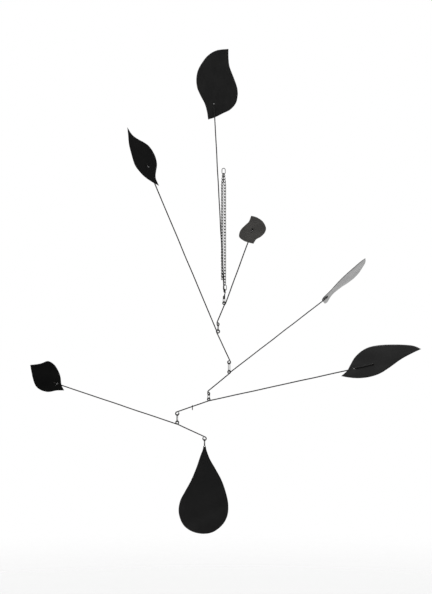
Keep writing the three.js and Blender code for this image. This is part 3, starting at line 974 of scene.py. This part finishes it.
def armPath(arm, rng):
    # the wire from its end at the leaf to its eye, with how much each station is rubbed
    rise, fall = math.radians(arm["rise"]), math.radians(arm["fall"])
    radius, waver, rubs = arm["loop"], bending["waver"], armSettings["rubs"]
    outward = Vector((math.cos(rise), 0, math.sin(rise)))
    side = Vector((-math.sin(rise), 0, math.cos(rise)))
    leafFace = turned(Vector((0, 1, 0)), math.radians(arm["roll"]), outward)
    loopStart = Vector((0, loopPitch / 2, radius)) - side * radius
    loop = bend(loopStart, -outward, side, radius, fullTurn + rise - fall, Vector((0, -loopPitch, 0)))

    across = leafFace * (arm["side"] * leafOffset)
    entry = loopStart + outward * arm["reach"]
    slot = entry + outward * (arm["slot"] * arm["length"]) + across
    nearBend = slot - outward * (slotRun / 2) - across
    farBend = slot + outward * (slotRun / 2) + across
    tip = farBend + outward * (arm["tail"] * arm["length"])
    farCorner = roundedCorner(tip, farBend, nearBend, leafSettings["slotBend"])
    nearCorner = roundedCorner(farBend, nearBend, loopStart, leafSettings["slotBend"])
    path = [(tip, rubs["tip"])]
    path += [(s, rubs["slot"]) for s in straight(tip, farCorner[0], rng, 0.0) + farCorner + nearCorner]
    path += [(s, 0.0) for s in straight(nearCorner[-1], loopStart, rng, waver)]
    path += [(s, rubs["loop"]) for s in loop]

    plan = math.radians(arm["sideTurn"])
    forward = turned(Vector((-math.cos(fall), 0, -math.sin(fall))), plan)
    below = turned(Vector((math.sin(fall), 0, -math.cos(fall))), plan)
    end = loop[-1] + forward * arm["short"]
    path += [(s, 0.0) for s in straight(loop[-1], end, rng, waver * 0.5)]
    eyeWay, inEye = forward, below
    if arm["neck"] > 0:
        neck = bend(end, forward, below, armSettings["neckBend"], quarterTurn - fall)
        path += [(s, rubs["neck"]) for s in neck]
        end = neck[-1] - up * arm["neck"]
        eyeWay, inEye = -up, turned(Vector((1, 0, 0)), math.radians(arm["eyeTurn"] - arm["turn"]))
    eyeBend = bend(end, eyeWay, inEye, arm["eye"], armSettings["eyeSweep"])
    path += [(s, rubs["loop"]) for s in eyeBend]
    return {
        "path": path, "eye": end + inEye * arm["eye"], "entry": entry + across, "outward": outward,
        "leafFace": leafFace, "hanging": loop[-1] + forward * armSettings["spareLinkPlace"],
    }


def placeArm(arm, fulcrum, number):
    # the wire and its leaf; gives the middles of the eye and of the place where a spare link can hang
    name, label = arm["name"], arm["label"]
    turn = math.radians(arm["turn"])
    route = armPath(arm, random.Random(armSettings["firstSeed"] + number))
    stations = [fulcrum + turned(s, turn) for s, _ in route["path"]]
    verts, _, owners, faces = tube(stations, armWire, armSettings["sides"])
    piece = meshPiece(label + "Wire", verts, faces, name, armPaint, [name + "_arm"])
    rubs = [rub for _, rub in route["path"]]
    markVerts(piece, "rub", [rubs[owner] for owner in owners])

    outward, leafFace = route["outward"], route["leafFace"]
    across = leafFace.cross(outward)

    def place(v):
        return fulcrum + turned(route["entry"] + outward * v.x + across * v.y + leafFace * v.z, turn)

    wireEnd = (arm["slot"] + arm["tail"]) * arm["length"] + slotRun

    def wireRoom(x, y):
        return max(0.0, math.hypot(max(0.0, x - wireEnd), y) - armWire)

    hole = slotLoop(arm["slot"] * arm["length"], slotLength, slotWidth)
    outline = leafOutline(arm["outline"], arm["length"])
    seed = leafSettings["firstSeed"] + number
    leafPiece(label + "Sheet", outline, hole, place, name, name + "_leaf", seed, wireRoom, arm)
    return fulcrum + turned(route["eye"], turn), fulcrum + turned(route["hanging"], turn)


def buildMobile():
    hangingRing()
    hangingChain(math.radians(topArm["turn"]))
    chainFoot = chainTop - (chainSettings["loadLinks"] - 1) * chainPitch - 2 * chainSettings["halfLength"]
    linkTop = Vector((chainSettings["loadOffset"], 0, chainFoot + chainSeat))
    height = armSettings["chainLinkHeight"]
    ovalPiece(
        "linkUnderChain", linkSettings, height, linkTop, math.radians(topArm["turn"]) + quarterTurn,
        "root", "chain_link",
    )
    print("ring and chain made")
    for number, arm in enumerate(arms):
        fulcrum = linkTop + up * (seat - height - 2 * arm["loop"])
        eye, hanging = placeArm(arm, fulcrum, number)
        linkTop = eye - up * (arm["eye"] - seat)
        height = arm["linkHeight"]
        ovalPiece(
            arm["label"] + "Link", linkSettings, height, linkTop, math.radians(arm["linkTurn"]),
            arm["name"], arm["name"] + "_link",
        )
        if arm is rightArm:
            spareTop = hanging + up * (seat / math.cos(math.radians(arm["fall"])))
            ovalPiece(
                "spareLink", linkSettings, armSettings["spareLinkHeight"], spareTop,
                math.radians(arm["turn"]) + armSettings["spareLinkTurn"], arm["name"], "spare_link",
            )
        print("arm made:", arm["name"])
    hang = linkTop - up * (height + dropSeat)
    turn = math.radians(dropSettings["turn"])
    outline = leafOutline(dropSettings["outline"], dropSettings["length"])

    def place(v):
        return hang + turned(Vector((v.x, -v.z, v.y)), turn)

    leafPiece(
        "dropSheet", outline, roundHole(dropSettings["hole"]), place, "drop", "drop_leaf",
        dropSettings["seed"], math.hypot, dropSettings,
    )
    print("drop made")


buildMobile()


# studio, in metres: a pale round floor under soft light, brighter from behind than from the front

studio = {
    "floorHeight": -1.22,
    "floorRadius": 2.8,
    "floorColour": (0.93, 0.93, 0.93, 1.0),
    "floorCover": 0.4,         # at its middle; it fades to nothing near its rim
    "floorFade": (0.3, 0.98),  # from and to, as shares of the radius
    "frontLight": 0.09,
    "backLight": 1.15,
    "lightTurn": (-0.25, 0.45),  # how far back the world's light starts and ends its change
    "background": 1.0,
    "softboxes": [
        {"name": "keySoftbox", "place": (-2.6, -2.4, 2.6), "size": (1.6, 1.2), "power": 26},
        {"name": "topSoftbox", "place": (0.4, 0.8, 3.2), "size": (2.4, 2.4), "power": 60},
    ],
    "litPlace": (0, 0, -0.3),
    "distance": 6.0,
    "scale": 2.6,              # millimetres for each pixel at the middle of the mobile
    "pictureWidth": 432,
    "pictureHeight": 594,
    "hookAcross": 223.6,       # pixels from the left
    "hookDown": 168.6,         # pixels from the top
}


def studioFloor():
    steps, rings = 96, 14
    verts, faces = [Vector((0, 0, 0))], []
    turns = [fullTurn * k / steps for k in range(steps)]
    for ring in range(1, rings + 1):
        radius = studio["floorRadius"] * ring / rings
        verts += [Vector((radius * math.cos(turn), radius * math.sin(turn), 0)) for turn in turns]
    faces += [(0, 1 + k, 1 + (k + 1) % steps) for k in range(steps)]
    for ring in range(rings - 1):
        low, high = 1 + ring * steps, 1 + (ring + 1) * steps
        faces += [(low + k, high + k, high + (k + 1) % steps, low + (k + 1) % steps) for k in range(steps)]
    mesh = bpy.data.meshes.new("studioFloor")
    mesh.from_pydata([tuple(v) for v in verts], [], faces)
    floor = bpy.data.objects.new("studioFloor", mesh)
    floor.location = (0, 0, studio["floorHeight"])
    scene.collection.objects.link(floor)
    material, tree, shader = newMaterial("paleFloor")
    shader.inputs["Base Color"].default_value = studio["floorColour"]
    shader.inputs["Roughness"].default_value = 0.9
    shader.inputs["Specular IOR Level"].default_value = 0.1
    place = addNode(tree, "ShaderNodeTexCoord").outputs["Object"]
    away = addNode(tree, "ShaderNodeVectorMath", {0: place}, operation="LENGTH").outputs["Value"]
    start, end = (studio["floorRadius"] * share for share in studio["floorFade"])
    fade = mapped(tree, away, start, end, studio["floorCover"], 0.0, smooth=True)
    tree.links.new(fade, shader.inputs["Alpha"])
    mesh.materials.append(material)


def studioWorld():
    world = bpy.data.worlds.new("softStudio")
    world.use_nodes = True
    scene.world = world
    tree = world.node_tree
    background = tree.nodes["Background"]
    ways = addNode(tree, "ShaderNodeTexCoord").outputs["Generated"]
    parts = addNode(tree, "ShaderNodeSeparateXYZ", {0: ways})
    low, high = studio["lightTurn"]
    light = mapped(
        tree, parts.outputs["Y"], low, high, studio["frontLight"], studio["backLight"], smooth=True,
    )
    seen = addNode(tree, "ShaderNodeLightPath").outputs["Is Camera Ray"]
    lift = times(tree, seen, minus(tree, studio["background"], light))
    tree.links.new(plus(tree, light, lift), background.inputs["Strength"])
    background.inputs["Color"].default_value = (1.0, 1.0, 1.0, 1.0)


def softbox(name, place, size, power):
    light = bpy.data.lights.new(name, "AREA")
    light.shape = "RECTANGLE"
    light.size, light.size_y = size
    light.energy = power
    lamp = bpy.data.objects.new(name, light)
    lamp.location = place
    lamp.rotation_euler = (Vector(studio["litPlace"]) - lamp.location).to_track_quat("-Z", "Y").to_euler()
    scene.collection.objects.link(lamp)


def studioCamera():
    # level, six metres in front, framed so that the hook falls where the picture has it
    data = bpy.data.cameras.new("studioCamera")
    data.sensor_fit = "HORIZONTAL"
    data.sensor_width = 36.0
    metresAcross = studio["pictureWidth"] * studio["scale"] * mm
    data.lens = data.sensor_width * studio["distance"] / metresAcross
    data.clip_end = 100.0
    camera = bpy.data.objects.new("studioCamera", data)
    across = (studio["pictureWidth"] / 2 - studio["hookAcross"]) * studio["scale"] * mm
    down = (studio["pictureHeight"] / 2 - studio["hookDown"]) * studio["scale"] * mm
    camera.location = (across, -studio["distance"], -down)
    camera.rotation_euler = (quarterTurn, 0, 0)
    scene.collection.objects.link(camera)
    scene.camera = camera


studioFloor()
studioWorld()
for box in studio["softboxes"]:
    softbox(**box)
studioCamera()
scene.view_settings.view_transform = "Standard"
print("studio made")
